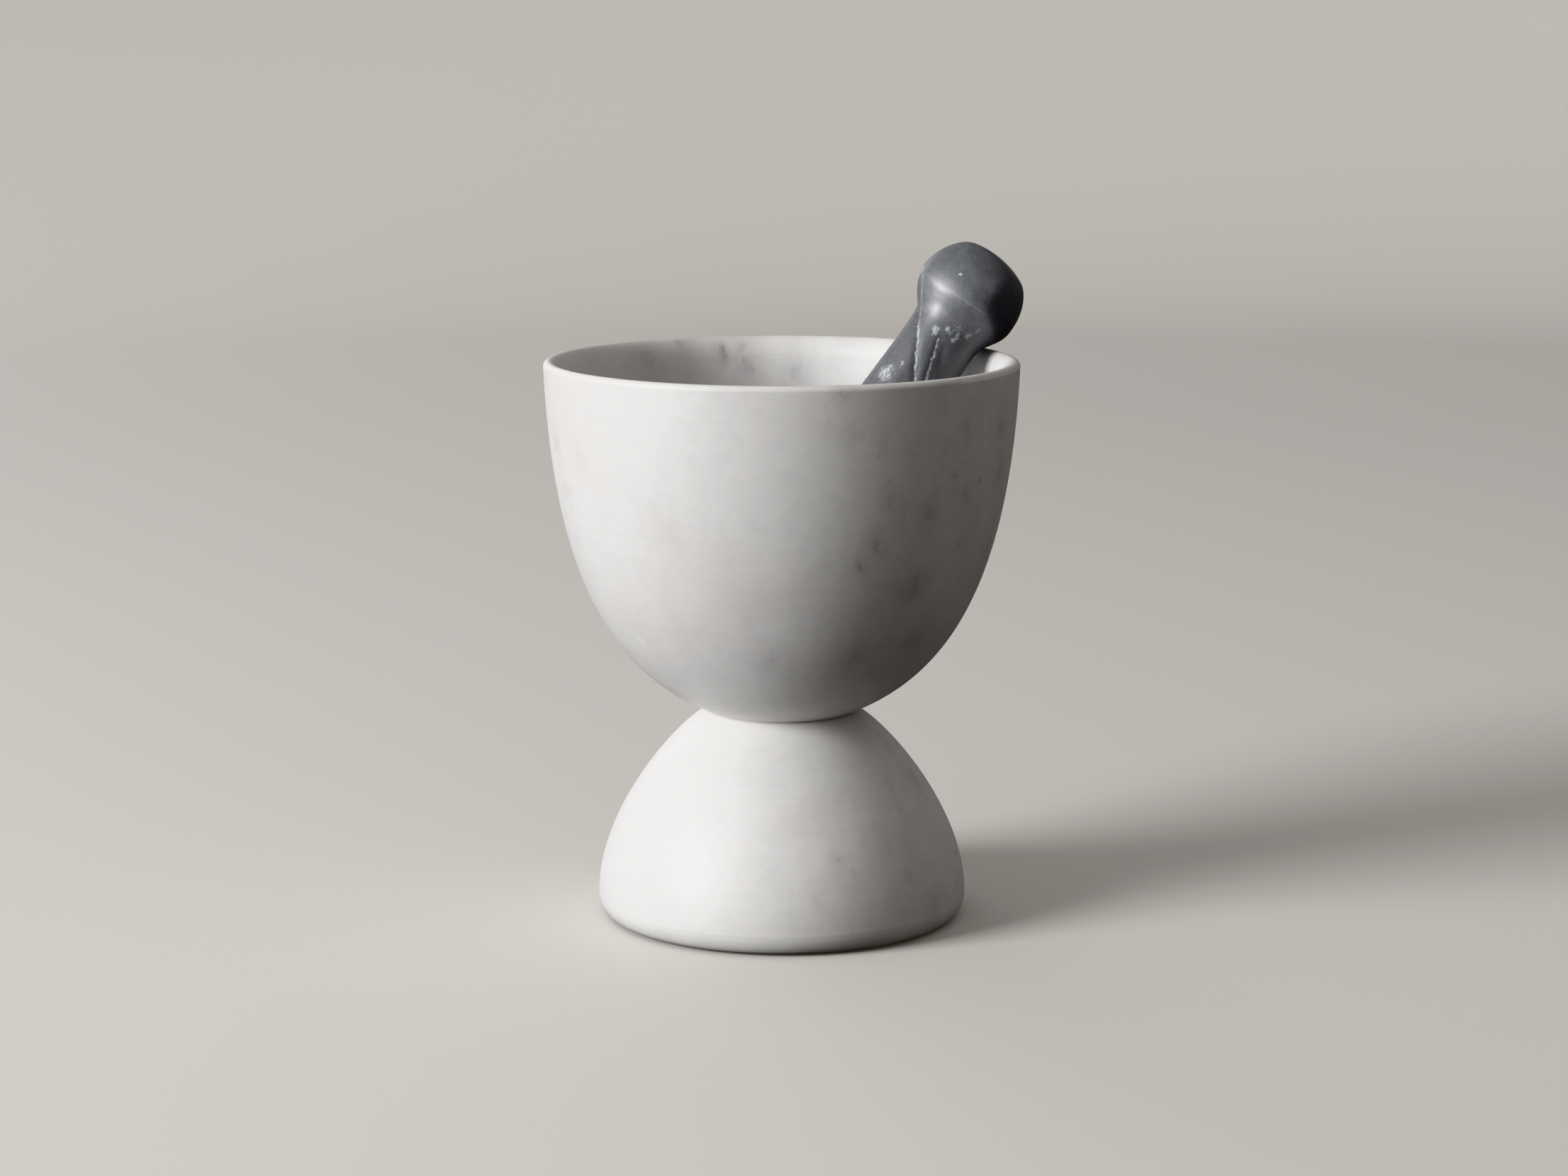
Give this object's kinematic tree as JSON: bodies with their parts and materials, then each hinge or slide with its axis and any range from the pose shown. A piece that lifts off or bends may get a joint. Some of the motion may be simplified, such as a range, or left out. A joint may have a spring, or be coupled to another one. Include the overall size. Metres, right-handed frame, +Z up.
{
  "type": "mortar and pestle",
  "caption": "Footed white marble mortar: a deep bowl on a domed foot, with a loose knobbed pestle of dark stone leaning on its lip.",
  "frame": {"origin": "on the mortar's axis, in the plane of the four pads' undersides, where the mortar stands on the table", "axes": "+Z up along the mortar's axis, +X to the right and +Y away from someone who faces it; the pestle leans 26 degrees from +X towards +Y"},
  "size_m": [0.1952, 0.19, 0.27],
  "materials": {
    "bowl_marble": "honed white marble with faint grey clouds",
    "foot_marble": "honed white marble with faint grey clouds",
    "dark_stone": "honed charcoal stone with pale flecks and veins",
    "dowel_steel": "turned stainless steel",
    "cured_resin": "cured milky resin",
    "pad_felt": "pressed grey felt"
  },
  "bodies": {
    "mortar": {"mortar_bowl": "bowl_marble", "mortar_foot": "foot_marble", "waist_dowel": "dowel_steel", "joint_resin": "cured_resin", "foot_pad_1": "pad_felt", "foot_pad_2": "pad_felt", "foot_pad_3": "pad_felt", "foot_pad_4": "pad_felt"},
    "pestle": {"pestle": "dark_stone"}
  },
  "joints": [
    {"name": "pestle_lift", "type": "slide", "parent": "mortar", "child": "pestle", "axis": [0, 0, 1], "range_m": [0, 0.14]}
  ]
}
